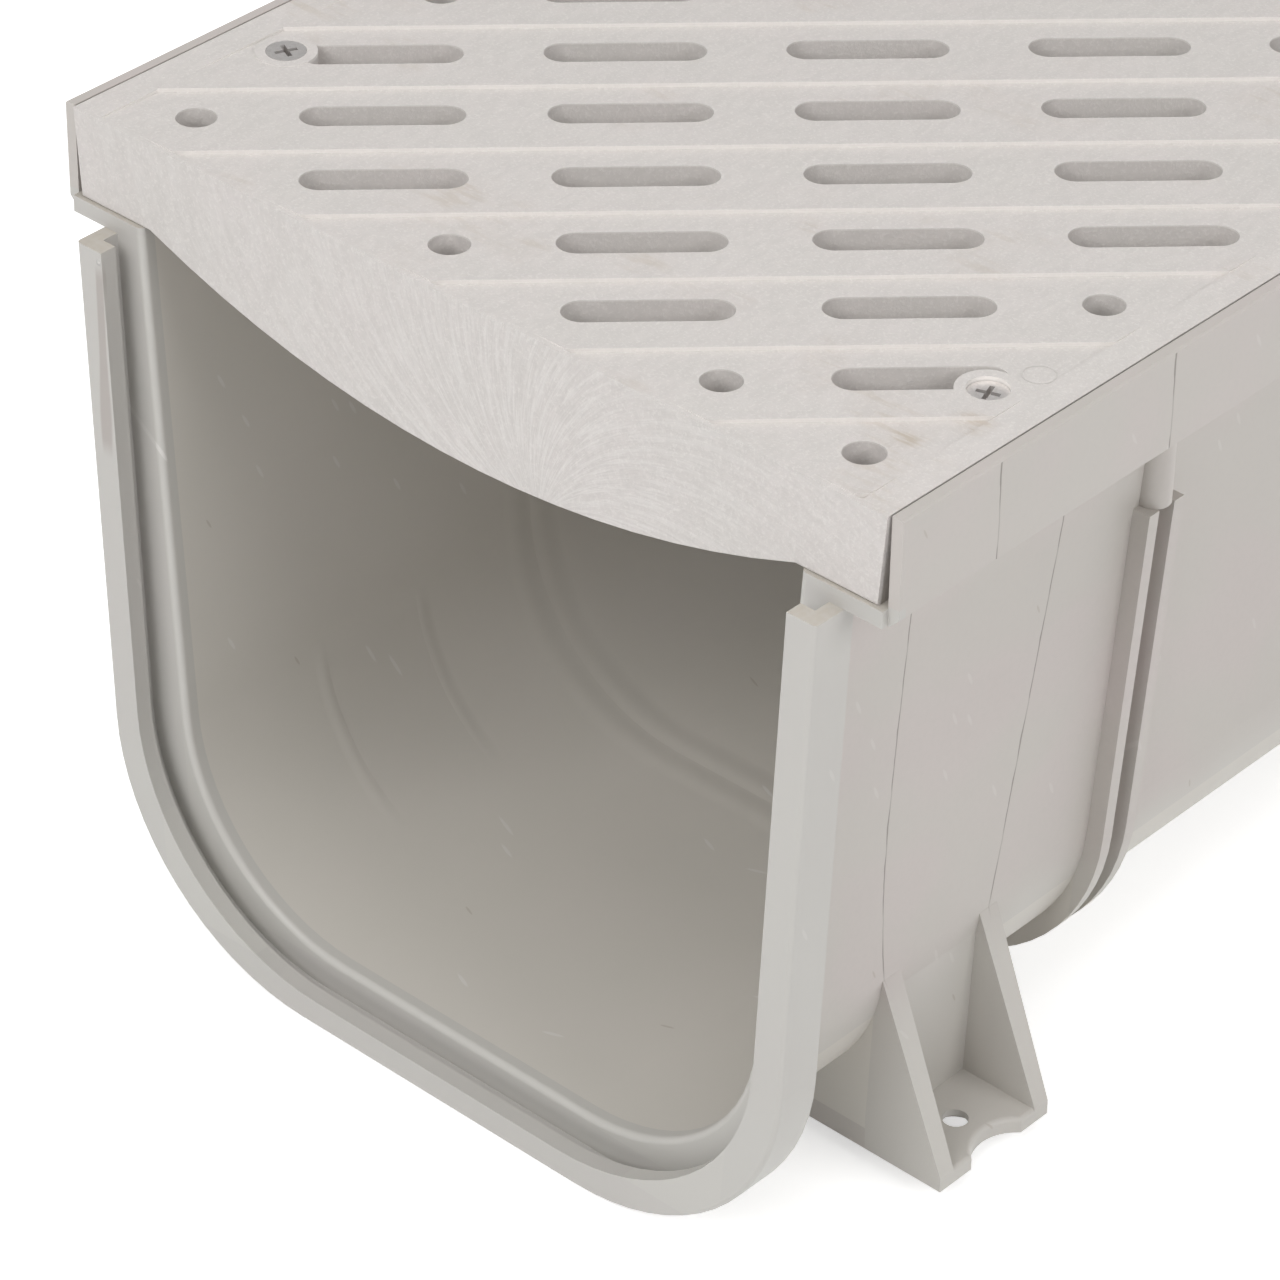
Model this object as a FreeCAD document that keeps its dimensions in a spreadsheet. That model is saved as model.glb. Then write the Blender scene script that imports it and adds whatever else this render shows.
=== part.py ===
import FreeCAD, Part
import os

os.makedirs("parts", exist_ok=True)
doc = FreeCAD.newDocument("channel_drain")

import math

import Sketcher
from FreeCAD import Placement, Rotation, Vector

# ---------------------------------------------------------------- sizes (mm, degrees)
# Depths are measured down from the top of the rim, distances along the channel
# from the front end of the rim.
SIZES = {
    # rim
    "overall_width": 200.0,
    "overall_length": 500.0,
    "seat_depth": 18.4,
    "ledge_width": 18.0,
    "ledge_thickness": 3.4,
    "skirt_thickness": 2.4,
    "rim_chamfer": 2.0,
    "rim_edge_break": 0.4,
    # trough: depth below the seat, and how far each wall comes in on the way down
    "wall_thickness": 3.0,
    "trough_depth": 144.9,
    "wall_lean": 9.5,
    "inner_corner": 41.0,
    "inner_lip_round": 1.3,
    # joint flange at the front end, placed from the inside of the trough
    "wall_reach": 1.4,
    "hook_reach": 7.1,
    "hook_arm": 3.6,
    "hook_web": 2.6,
    "hook_skin": 3.3,
    "hook_lean": 6.0,
    "hook_outer_out": 9.9,
    "hook_outer_drop": 10.6,
    "hook_outer_corner": 49.5,
    "hook_inner_out": 3.4,
    "hook_inner_drop": 4.5,
    "hook_inner_corner": 47.0,
    "hook_edge_round": 0.9,
    "tongue_clearance": 0.4,
    # stiffening ribs hang from a half round boss under the rim
    "rib_station": 95.0,
    "rib_thickness": 2.8,
    "rib_gap": 4.4,
    "rib_height": 3.8,
    "boss_radius": 3.4,
    "boss_out": 1.6,
    "boss_root_out": 0.3,
    "boss_depth": 50.0,
    # feet: their plates lie a little under the trough
    "foot_station": 48.7,
    "foot_span": 31.4,
    "foot_out": 10.3,
    "foot_drop": 6.7,
    "foot_plate": 3.3,
    "foot_edge_round": 0.9,
    "gusset_thickness": 3.8,
    "gusset_height": 43.0,
    "gusset_lean": 1.3,
    "gusset_draft": 0.6,
    "panel_thickness": 3.0,
    "panel_inset": 0.5,
    "foot_hole_inset": 9.2,
    "foot_hole_station": 48.3,
    "foot_hole_radius": 2.5,
    "foot_relief_radius": 4.4,
    "foot_relief_depth": 1.9,
    "notch_station": 49.3,
    "notch_width": 14.6,
    "notch_reach": 3.5,
    # grating
    "side_gap": 0.4,
    "grate_taper": 1.4,
    "grate_forward": 0.7,
    "belly_inset": 2.6,
    "belly_rise": 14.6,
    "grate_corner": 2.0,
    "grate_edge_round": 0.6,
    "side_border": 6.4,
    "end_border": 1.2,
    "band_angle": 45.0,
    "band_pitch": 22.8,
    "band_phase": 28.7,
    "band_rise": 0.25,
    "band_fall": 0.65,
    "slot_row_offset": 12.8,
    "slot_pitch": 45.15,
    "slot_phase": 77.3,
    "slot_length": 30.4,
    "slot_width": 7.7,
    "slot_margin": 3.4,
    # screws
    "screw_inset": 15.8,
    "screw_station": 40.8,
    "screw_boss_radius": 5.9,
    "screw_head": 7.6,
    "screw_land": 0.35,
    "screw_shank": 3.9,
    "screw_length": 25.0,
    "screw_point": 3.0,
    "screw_recess_span": 4.4,
    "screw_recess_width": 0.95,
    "screw_recess_depth": 1.3,
    "screw_clearance": 0.25,
    "pilot_clearance": 0.05,
    "screw_sink": 0.91,
}

# sizes that follow from the ones above
DERIVED = {
    "inner_half_seat": "overall_width / 2 - skirt_thickness - ledge_width",
    "inner_half_floor": "inner_half_seat - wall_lean",
    "inner_floor_depth": "seat_depth + trough_depth",
    "hook_outer_half_seat": "inner_half_seat + hook_outer_out",
    "hook_outer_half_floor": "hook_outer_half_seat - hook_lean",
    "hook_floor_depth": "inner_floor_depth + hook_outer_drop",
    "hook_inner_half_seat": "inner_half_seat + hook_inner_out",
    "hook_inner_half_floor": "hook_inner_half_seat - hook_lean",
    "hook_inner_floor_depth": "inner_floor_depth + hook_inner_drop",
    "boss_centre": "inner_half_seat + boss_out",
    "boss_root": "inner_half_seat + boss_root_out",
    "foot_half": "inner_half_seat + foot_out",
    "foot_depth": "inner_floor_depth + foot_drop",
    "gusset_top_depth": "foot_depth - gusset_height",
    "foot_hole_half": "foot_half - foot_hole_inset",
    "grate_half": "overall_width / 2 - skirt_thickness - side_gap",
    "field_half": "grate_half - side_border",
    "belly_half": "inner_half_seat - belly_inset",
    "belly_depth": "seat_depth + belly_rise",
    "screw_half": "overall_width / 2 - screw_inset",
}

dims = doc.addObject("Spreadsheet::Sheet", "dims")
for row, (alias, value) in enumerate(list(SIZES.items()) + list(DERIVED.items()), start=1):
    dims.set("A%d" % row, alias.replace("_", " "))
    dims.set("B%d" % row, repr(value) if alias in SIZES else "=" + value)
    dims.setAlias("B%d" % row, alias)
doc.recompute()

S = {alias: float(dims.get(alias)) for alias in list(SIZES) + list(DERIVED)}
LENGTH = S["overall_length"]
HALF = S["overall_width"] / 2
HOOK_FRONT = -(S["hook_reach"] + S["wall_reach"])
ORIGIN_Y = (LENGTH + HOOK_FRONT) / 2
TOP = S["hook_floor_depth"]
TOP_EXPR = "dims.hook_floor_depth"
ORIGIN_EXPR = "(dims.overall_length - dims.hook_reach - dims.wall_reach) / 2"
LEDGE_UNDER = -(S["seat_depth"] + S["ledge_thickness"])
SIDES = (1, -1)


# ---------------------------------------------------------------- helpers
def new_body(label):
    body = doc.addObject("PartDesign::Body", label)
    body.Label = label
    return body


def plane(body, role):
    return next(f for f in body.Origin.OriginFeatures if f.Role == role)


def draw(sketch, wire):
    """Draw a list of ('line', a, b) and ('arc', centre, radius, start, end) pieces."""
    for piece in wire:
        if piece[0] == "line":
            a, b = piece[1:]
            sketch.addGeometry(Part.LineSegment(Vector(*a, 0), Vector(*b, 0)), False)
        elif piece[0] == "arc":
            centre, radius, start, end = piece[1:]
            circle = Part.Circle(Vector(*centre, 0), Vector(0, 0, 1), radius)
            arc = Part.ArcOfCircle(circle, math.radians(start), math.radians(end))
            sketch.addGeometry(arc, False)
        else:
            centre, radius = piece[1:]
            sketch.addGeometry(Part.Circle(Vector(*centre, 0), Vector(0, 0, 1), radius), False)


def polygon(points):
    return [("line", a, b) for a, b in zip(points, points[1:] + points[:1])]


def section(body, name, wires, station_expr):
    """Sketch across the channel: x is across, y is the height above the rim top."""
    sketch = body.newObject("Sketcher::SketchObject", name)
    sketch.AttachmentSupport = (plane(body, "XZ_Plane"), [""])
    sketch.MapMode = "FlatFace"
    sketch.setExpression("AttachmentOffset.Base.y", TOP_EXPR)
    sketch.setExpression("AttachmentOffset.Base.z", "%s - (%s)" % (ORIGIN_EXPR, station_expr))
    for wire in wires:
        draw(sketch, wire)
    return sketch


def plan(body, name, wires, depth_expr):
    """Sketch seen from above: x is across, y the distance from the front of the rim."""
    sketch = body.newObject("Sketcher::SketchObject", name)
    sketch.AttachmentSupport = (plane(body, "XY_Plane"), [""])
    sketch.MapMode = "FlatFace"
    sketch.setExpression("AttachmentOffset.Base.y", "-(%s)" % ORIGIN_EXPR)
    sketch.setExpression("AttachmentOffset.Base.z", "%s - (%s)" % (TOP_EXPR, depth_expr))
    for wire in wires:
        draw(sketch, wire)
    return sketch


def pad(body, sketch, name, length_expr, reverse=False):
    feature = body.newObject("PartDesign::Pad", name)
    feature.Profile = sketch
    feature.Reversed = reverse
    feature.setExpression("Length", length_expr)
    sketch.Visibility = False
    doc.recompute()
    return feature


def pocket(body, sketch, name, length_expr, reverse=False):
    before = body.Shape.Volume
    feature = body.newObject("PartDesign::Pocket", name)
    feature.Profile = sketch
    feature.Reversed = reverse
    feature.setExpression("Length", length_expr)
    sketch.Visibility = False
    doc.recompute()
    if feature.Shape.Volume >= before - 1e-6:
        feature.Reversed = not reverse
        doc.recompute()
    return feature


def round_edges(body, base, name, radius_expr, wanted):
    edges = ["Edge%d" % i for i, e in enumerate(base.Shape.Edges, start=1) if wanted(e)]
    feature = body.newObject("PartDesign::Fillet", name)
    feature.Base = (base, edges)
    feature.setExpression("Radius", radius_expr)
    doc.recompute()
    return feature


def u_side(half_seat, half_floor, floor, corner, top):
    """One side of a U: start on the wall, end of the wall, corner centre."""
    slope = (half_seat - half_floor) / (floor - S["seat_depth"])
    start = (half_seat + (top + S["seat_depth"]) * slope, top)
    root = math.sqrt(1 + slope * slope)
    centre_z = corner - floor
    wall_at_centre = half_seat + (centre_z + S["seat_depth"]) * slope
    centre = (wall_at_centre - corner * root, centre_z)
    tangent = (centre[0] + corner / root, centre_z - corner * slope / root)
    return start, tangent, centre, math.degrees(math.atan(slope))


def u_line(profile, top):
    """The right to left run of a U as sketch pieces, plus its two top points."""
    floor, corner = profile[2], profile[3]
    start, tangent, centre, lean = u_side(*profile, top)
    wire = [
        ("line", start, tangent),
        ("arc", centre, corner, -90, -lean),
        ("line", (centre[0], -floor), (-centre[0], -floor)),
        ("arc", (-centre[0], centre[1]), corner, 180 + lean, 270),
        ("line", (-tangent[0], tangent[1]), (-start[0], start[1])),
    ]
    return wire, start


def u_ring(outer, inner, top):
    outside, a = u_line(outer, top)
    inside, b = u_line(inner, top)
    caps = [("line", (side * a[0], a[1]), (side * b[0], b[1])) for side in SIDES]
    return outside + inside + caps


def offset_profile(profile, by):
    """The same U moved outwards by a distance, square to its surface."""
    half_seat, half_floor, floor, corner = profile
    slope = (half_seat - half_floor) / (floor - S["seat_depth"])
    root = math.sqrt(1 + slope * slope)
    return (half_seat + by * root, half_floor + by * root - by * slope, floor + by, corner + by)


def mirror_x(points):
    return [(-x, y) for x, y in points]


# ---------------------------------------------------------------- U outlines
INNER = (S["inner_half_seat"], S["inner_half_floor"], S["inner_floor_depth"], S["inner_corner"])
OUTER = offset_profile(INNER, S["wall_thickness"])
MIDDLE = offset_profile(INNER, S["wall_thickness"] / 2)
RIBS = offset_profile(OUTER, S["rib_height"])
HOOK_OUT = (
    S["hook_outer_half_seat"],
    S["hook_outer_half_floor"],
    S["hook_floor_depth"],
    S["hook_outer_corner"],
)
HOOK_SKIN = offset_profile(HOOK_OUT, -S["hook_skin"])
HOOK_IN = (
    S["hook_inner_half_seat"],
    S["hook_inner_half_floor"],
    S["hook_inner_floor_depth"],
    S["hook_inner_corner"],
)

# ---------------------------------------------------------------- channel body
channel = new_body("channel_moulding")

trough_wire = u_ring(OUTER, INNER, LEDGE_UNDER)
trough_sketch = section(channel, "trough_section", [trough_wire], "-dims.wall_reach")
trough = pad(channel, trough_sketch, "trough", "dims.overall_length + dims.wall_reach", True)

# rim: a seat turned outwards with an upright skirt on each side
seat = -S["seat_depth"]
skirt_in = HALF - S["skirt_thickness"]
wall_at_seat = S["inner_half_seat"]
wall_below = u_side(*INNER, LEDGE_UNDER)[0][0]
rim_points = [
    (wall_at_seat, seat),
    (skirt_in, seat),
    (skirt_in, 0.0),
    (HALF - S["rim_edge_break"], 0.0),
    (HALF, -S["rim_edge_break"]),
    (HALF, LEDGE_UNDER + S["rim_chamfer"]),
    (HALF - S["rim_chamfer"], LEDGE_UNDER),
    (wall_below, LEDGE_UNDER),
]
rim_wires = [polygon(rim_points), polygon(mirror_x(rim_points))]
rim_sketch = section(channel, "rim_section", rim_wires, "0")
rim = pad(channel, rim_sketch, "rim", "dims.overall_length", True)

# the ledge runs forward to the end of the trough, the skirt stops short of it
nose_points = [
    (wall_at_seat, seat),
    (skirt_in, seat),
    (skirt_in, LEDGE_UNDER),
    (wall_below, LEDGE_UNDER),
]
nose_wires = [polygon(nose_points), polygon(mirror_x(nose_points))]
nose_sketch = section(channel, "ledge_nose_section", nose_wires, "-dims.wall_reach")
nose = pad(channel, nose_sketch, "ledge_nose", "dims.wall_reach", True)

# joint flange: web, outer skin and inward front arm make a groove open at the top
web_sketch = section(channel, "flange_web_section", [u_ring(HOOK_OUT, MIDDLE, LEDGE_UNDER)],
                     "-dims.wall_reach")
web = pad(channel, web_sketch, "flange_web", "dims.hook_web", True)
skin_sketch = section(channel, "flange_skin_section", [u_ring(HOOK_OUT, HOOK_SKIN, LEDGE_UNDER)],
                      "-dims.wall_reach - dims.hook_reach")
skin = pad(channel, skin_sketch, "flange_skin", "dims.hook_reach", True)
arm_sketch = section(channel, "flange_arm_section", [u_ring(HOOK_OUT, HOOK_IN, LEDGE_UNDER)],
                     "-dims.wall_reach - dims.hook_reach")
arm = pad(channel, arm_sketch, "flange_arm", "dims.hook_arm", True)

# tongue at the far end, sized to slide down into the next groove
TONGUE = offset_profile(HOOK_SKIN, -S["tongue_clearance"])
tongue_sketch = section(
    channel, "tongue_section", [u_ring(TONGUE, MIDDLE, LEDGE_UNDER)],
    "dims.overall_length - dims.wall_reach - dims.hook_reach + dims.hook_arm"
    " + dims.tongue_clearance")
tongue = pad(channel, tongue_sketch, "tongue",
             "dims.hook_reach - dims.hook_arm - 2 * dims.tongue_clearance", True)

# rib pairs round the trough, each hanging from a half round boss under the rim
FAR = {False: "%s", True: "dims.overall_length - (%s)"}
rib_wire = u_ring(RIBS, MIDDLE, -S["boss_depth"])
rib_pitch = "(dims.rib_gap + dims.rib_thickness)"
for far in (False, True):
    tag = "far" if far else "near"
    for name, sign in (("first", "-"), ("second", "+")):
        centre = FAR[far] % ("dims.rib_station %s %s / 2" % (sign, rib_pitch))
        start = "%s - dims.rib_thickness / 2" % centre
        rib_sketch = section(channel, "rib_%s_%s_section" % (tag, name), [rib_wire], start)
        pad(channel, rib_sketch, "rib_%s_%s" % (tag, name), "dims.rib_thickness", True)
    at = LENGTH - S["rib_station"] if far else S["rib_station"]
    boss_wires = []
    for side in SIDES:
        root = side * S["boss_root"]
        middle = side * S["boss_centre"]
        low, high = at - S["boss_radius"], at + S["boss_radius"]
        arc = (-90, 90) if side > 0 else (90, 270)
        boss_wires.append([
            ("line", (root, low), (middle, low)),
            ("arc", (middle, at), S["boss_radius"], *arc),
            ("line", (middle, high), (root, high)),
            ("line", (root, high), (root, low)),
        ])
    boss_sketch = plan(channel, "boss_%s_outline" % tag, boss_wires, "dims.boss_depth")
    pad(channel, boss_sketch, "boss_%s" % tag,
        "dims.boss_depth - dims.seat_depth - dims.ledge_thickness")

# feet: a flat panel carries the wall straight down, two gussets stand on a plate
_, mid_tangent, mid_centre, mid_lean = u_side(*MIDDLE, LEDGE_UNDER)
mid_radius = MIDDLE[3]
outer_slope = math.tan(math.radians(mid_lean))


def outer_wall(depth):
    return OUTER[0] - (depth - S["seat_depth"]) * outer_slope


def on_middle(angle):
    return (mid_centre[0] + mid_radius * math.cos(math.radians(angle)),
            mid_centre[1] + mid_radius * math.sin(math.radians(angle)))


def flip_wire(wire):
    flipped = []
    for piece in wire:
        if piece[0] == "line":
            flipped.append(("line", *mirror_x(piece[1:])))
        elif piece[0] == "arc":
            (x, y), radius, start, end = piece[1:]
            flipped.append(("arc", (-x, y), radius, 180 - end, 180 - start))
        else:
            (x, y), radius = piece[1:]
            flipped.append(("circle", (-x, y), radius))
    return flipped


foot_z = -S["foot_depth"]
plate_z = foot_z + S["foot_plate"]
foot_low = S["foot_station"] - S["foot_span"] / 2
foot_high = S["foot_station"] + S["foot_span"] / 2
panel_out = outer_wall(S["foot_depth"]) - S["panel_inset"]
panel_in = panel_out - S["panel_thickness"]
panel_angle = -math.degrees(math.acos((panel_in - mid_centre[0]) / mid_radius))
panel_top = (outer_wall(-on_middle(0)[1]) - S["panel_inset"], on_middle(0)[1])
panel_wire = [
    ("arc", mid_centre, mid_radius, panel_angle, 0),
    ("line", on_middle(0), panel_top),
    ("line", panel_top, (panel_out, foot_z)),
    ("line", (panel_out, foot_z), (panel_in, foot_z)),
    ("line", (panel_in, foot_z), on_middle(panel_angle)),
]
for far in (False, True):
    tag = "far" if far else "near"
    near_edge = FAR[far] % ("dims.foot_station %s dims.foot_span / 2" % ("+" if far else "-"))
    panel_sketch = section(channel, "panel_%s_section" % tag,
                           [panel_wire, flip_wire(panel_wire)], near_edge)
    pad(channel, panel_sketch, "panel_%s" % tag, "dims.foot_span", True)

# screw holes through the seats
SCREWS = [
    ("screw_front_left", -1, False),
    ("screw_front_right", 1, False),
    ("screw_back_left", -1, True),
    ("screw_back_right", 1, True),
]


def screw_at(side, far):
    return (side * S["screw_half"], LENGTH - S["screw_station"] if far else S["screw_station"])


pilot = S["screw_shank"] / 2 + S["pilot_clearance"]
pilot_wires = [[("circle", screw_at(side, far), pilot)] for _, side, far in SCREWS]
pilot_sketch = plan(channel, "pilot_holes", pilot_wires, "dims.seat_depth")
pilot_holes = pocket(channel, pilot_sketch, "pilot_pocket", "dims.ledge_thickness + 8")

# soft edges: outer front edge of the flange, inner front edge of the trough
front_y = HOOK_FRONT - ORIGIN_Y
mouth_y = -S["wall_reach"] - ORIGIN_Y


def on_outline(edge, y, profile, top):
    """True for an edge lying at one station on a U outline."""
    box = edge.BoundBox
    if abs(box.YMin - y) > 1e-4 or abs(box.YMax - y) > 1e-4:
        return False
    start, tangent, centre, _ = u_side(*profile, top)
    outline = [Part.LineSegment(Vector(sx * start[0], y, TOP + start[1]),
                                Vector(sx * tangent[0], y, TOP + tangent[1])).toShape()
               for sx in SIDES]
    outline.append(Part.LineSegment(Vector(centre[0], y, TOP - profile[2]),
                                    Vector(-centre[0], y, TOP - profile[2])).toShape())
    for sx in SIDES:
        circle = Part.Circle(Vector(sx * centre[0], y, TOP + centre[1]), Vector(0, 1, 0),
                             profile[3])
        outline.append(circle.toShape())
    first, last = edge.ParameterRange
    probe = edge.valueAt((first + last) / 2)
    if probe.z > TOP + top - 1e-4:
        return False
    return min(Part.Vertex(probe).distToShape(line)[0] for line in outline) < 1e-4


hook_round = round_edges(channel, pilot_holes, "flange_edge_round", "dims.hook_edge_round",
                         lambda e: on_outline(e, front_y, HOOK_OUT, LEDGE_UNDER))
mouth_round = round_edges(channel, hook_round, "mouth_edge_round", "dims.inner_lip_round",
                          lambda e: on_outline(e, mouth_y, INNER, LEDGE_UNDER))
channel.Tip = mouth_round
doc.recompute()

# gussets: their outline seen along the channel, kept where two leaning slabs stand
tip = (outer_wall(S["gusset_top_depth"]), -S["gusset_top_depth"])
gusset_start = -mid_lean
gusset_wire = [
    ("arc", mid_centre, mid_radius, -90, gusset_start),
    ("line", on_middle(gusset_start), tip),
    ("line", tip, (S["foot_half"], plate_z)),
    ("line", (S["foot_half"], plate_z), (S["foot_half"], foot_z)),
    ("line", (S["foot_half"], foot_z), (mid_centre[0], foot_z)),
    ("line", (mid_centre[0], foot_z), on_middle(-90)),
]
slab_over = 4.0
slab_top = tip[1] + slab_over
rise = (slab_top - foot_z) / S["gusset_height"]
toward_front = (S["gusset_lean"] + S["gusset_draft"]) * rise
toward_back = (S["gusset_lean"] - S["gusset_draft"]) * rise
outlines = new_body("gusset_outlines")
slabs = new_body("gusset_slabs")
slab_wires = []
for far in (False, True):
    tag = "far" if far else "near"
    outline_start = "%s - dims.foot_span / 2 - 6" % (FAR[far] % "dims.foot_station")
    outline_sketch = section(outlines, "gusset_outline_%s" % tag,
                             [gusset_wire, flip_wire(gusset_wire)], outline_start)
    pad(outlines, outline_sketch, "gusset_run_%s" % tag, "dims.foot_span + 12", True)
    for low in (foot_low, foot_high - S["gusset_thickness"]):
        high = low + S["gusset_thickness"]
        slab = [(low, foot_z), (high, foot_z), (high - toward_back, slab_top),
                (low - toward_front, slab_top)]
        slab_wires.append(polygon([(LENGTH - y, z) if far else (y, z) for y, z in slab]))
slab_sketch = slabs.newObject("Sketcher::SketchObject", "gusset_slab_outlines")
slab_sketch.AttachmentSupport = (plane(slabs, "YZ_Plane"), [""])
slab_sketch.MapMode = "FlatFace"
slab_sketch.setExpression("AttachmentOffset.Base.x", "-(%s)" % ORIGIN_EXPR)
slab_sketch.setExpression("AttachmentOffset.Base.y", TOP_EXPR)
slab_sketch.setExpression("AttachmentOffset.Base.z", "-dims.foot_half - 1")
for wire in slab_wires:
    draw(slab_sketch, wire)
pad(slabs, slab_sketch, "gusset_slab_run", "2 * dims.foot_half + 2")
gussets = doc.addObject("Part::Common", "gussets")
gussets.Base = outlines
gussets.Tool = slabs

# foot plates, notched at the outer edge, with a screw hole relieved from below
plates = new_body("foot_plates")
notch_half = S["notch_width"] / 2
notch_radius = (notch_half ** 2 + S["notch_reach"] ** 2) / (2 * S["notch_reach"])
notch_centre = S["foot_half"] - S["notch_reach"] + notch_radius
notch_sweep = math.degrees(math.asin(notch_half / notch_radius))
edge = S["foot_half"]
plate_wires = []
hole_wires = []
relief_wires = []
for far in (False, True):
    low = LENGTH - foot_high if far else foot_low
    high = LENGTH - foot_low if far else foot_high
    notch_at = LENGTH - S["notch_station"] if far else S["notch_station"]
    hole_at = LENGTH - S["foot_hole_station"] if far else S["foot_hole_station"]
    plate_wire = [
        ("line", (panel_in, low), (edge, low)),
        ("line", (edge, low), (edge, notch_at - notch_half)),
        ("arc", (notch_centre, notch_at), notch_radius, 180 - notch_sweep, 180 + notch_sweep),
        ("line", (edge, notch_at + notch_half), (edge, high)),
        ("line", (edge, high), (panel_in, high)),
        ("line", (panel_in, high), (panel_in, low)),
    ]
    hole = (S["foot_hole_half"], hole_at)
    plate_wires += [plate_wire, flip_wire(plate_wire)]
    for side in SIDES:
        hole_wires.append([("circle", (side * hole[0], hole[1]), S["foot_hole_radius"])])
        relief_wires.append([("circle", (side * hole[0], hole[1]), S["foot_relief_radius"])])
plate_sketch = plan(plates, "foot_plate_outlines", plate_wires + hole_wires, "dims.foot_depth")
plate_pad = pad(plates, plate_sketch, "foot_plate_pad", "dims.foot_plate")
relief_sketch = plan(plates, "hole_relief_outlines", relief_wires, "dims.foot_depth")
relief = pocket(plates, relief_sketch, "hole_relief", "dims.foot_relief_depth")


def on_plate_rim(e):
    """Upper edges of the foot plates along the outer side and round the notch."""
    box = e.BoundBox
    level = abs(box.ZMin - (TOP + plate_z)) < 1e-4 and box.ZLength < 1e-4
    middle = e.CenterOfMass
    return level and abs(middle.x) > edge - S["notch_reach"] - 0.01 and box.YLength > 1.0


plate_round = round_edges(plates, relief, "foot_edge_soft", "dims.foot_edge_round", on_plate_rim)
plates.Tip = plate_round
doc.recompute()

channel_body = doc.addObject("Part::MultiFuse", "channel_body")
channel_body.Shapes = [channel, gussets, plates]
channel_body.Refine = True
channel_body.Label = "channel_body"
doc.recompute()

# ---------------------------------------------------------------- grating
# plate with a fish belly underside
grate_blank = new_body("grate_blank")
grate_half = S["grate_half"]
grate_low = grate_half - S["grate_taper"]
belly = S["belly_depth"] - S["seat_depth"]
belly_radius = (S["belly_half"] ** 2 + belly ** 2) / (2 * belly)
belly_sweep = math.degrees(math.asin(S["belly_half"] / belly_radius))
grate_wire = [
    ("line", (grate_low, seat), (grate_half, 0.0)),
    ("line", (grate_half, 0.0), (-grate_half, 0.0)),
    ("line", (-grate_half, 0.0), (-grate_low, seat)),
    ("line", (-grate_low, seat), (-S["belly_half"], seat)),
    ("arc", (0.0, belly_radius - S["belly_depth"]), belly_radius,
     270 - belly_sweep, 270 + belly_sweep),
    ("line", (S["belly_half"], seat), (grate_low, seat)),
]
grate_sketch = section(grate_blank, "grate_section", [grate_wire], "-dims.grate_forward")
grate_pad = pad(grate_blank, grate_sketch, "grate_plate", "dims.overall_length", True)
front_of_grate = -S["grate_forward"] - ORIGIN_Y


def under_front(e):
    """The two level front edges under the grating, outside the belly."""
    box = e.BoundBox
    return (abs(box.YMin - front_of_grate) < 1e-3 and box.YLength < 1e-3
            and abs(box.ZMin - (TOP + seat)) < 1e-3 and box.ZLength < 1e-3)


grate_front = round_edges(grate_blank, grate_pad, "grate_front_round",
                          "dims.grate_edge_round", under_front)
grate_round = round_edges(
    grate_blank, grate_front, "grate_corner_round", "dims.grate_corner",
    lambda e: abs(e.BoundBox.ZLength - S["seat_depth"]) < 1e-3 and e.BoundBox.YLength < 1e-3)

field_low = S["end_border"] - S["grate_forward"]
field_high = LENGTH - S["grate_forward"] - S["end_border"]
field_points = [
    (S["field_half"], field_low),
    (S["field_half"], field_high),
    (-S["field_half"], field_high),
    (-S["field_half"], field_low),
]
recess_sketch = plan(grate_blank, "field_outline", [polygon(field_points)], "0")
recess = pocket(grate_blank, recess_sketch, "field_recess", "dims.band_fall + dims.band_rise")
grate_blank.Tip = recess
doc.recompute()

# saw tooth bands, drawn across the bands and run along them, kept inside the field
turn = math.radians(S["band_angle"])
along = Vector(math.cos(turn), math.sin(turn), 0)
across = Vector(-math.sin(turn), math.cos(turn), 0)


def in_plan(a, c):
    """Rim coordinates of a point given along and across the bands."""
    return (a * along.x + c * across.x, a * along.y + c * across.y)


def band_coordinates(point):
    spot = Vector(point[0], point[1], 0)
    return spot.dot(along), spot.dot(across)


corners = [band_coordinates(p) for p in field_points]
across_min = min(c for _, c in corners)
across_max = max(c for _, c in corners)
along_min = min(a for a, _ in corners) - 5
along_max = max(a for a, _ in corners) + 5
first_band = math.floor((across_min - S["band_phase"]) / S["band_pitch"])
last_band = math.ceil((across_max - S["band_phase"]) / S["band_pitch"])
under = -(S["band_fall"] + S["band_rise"])
teeth = []
for band in range(first_band, last_band):
    near = S["band_phase"] + band * S["band_pitch"]
    teeth.append((near, S["band_rise"]))
    teeth.append((near + S["band_pitch"], -S["band_fall"]))
teeth += [(teeth[-1][0], under), (teeth[0][0], under)]

bands = new_body("bands")
teeth_sketch = bands.newObject("Sketcher::SketchObject", "band_profile")
teeth_sketch.AttachmentSupport = (plane(bands, "XZ_Plane"), [""])
teeth_sketch.MapMode = "FlatFace"
start_x, start_y = in_plan(along_min, 0)
facing = Rotation(Vector(0, 1, 0), S["band_angle"] + 90)
teeth_sketch.AttachmentOffset = Placement(Vector(start_x, TOP, ORIGIN_Y - start_y), facing)
draw(teeth_sketch, polygon(teeth))
teeth_pad = bands.newObject("PartDesign::Pad", "band_teeth")
teeth_pad.Profile = teeth_sketch
teeth_pad.Length = along_max - along_min
doc.recompute()
probe = bands.Shape.BoundBox
if not (probe.XMin < -HALF and probe.XMax > HALF):
    teeth_pad.Reversed = True
    doc.recompute()

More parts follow.
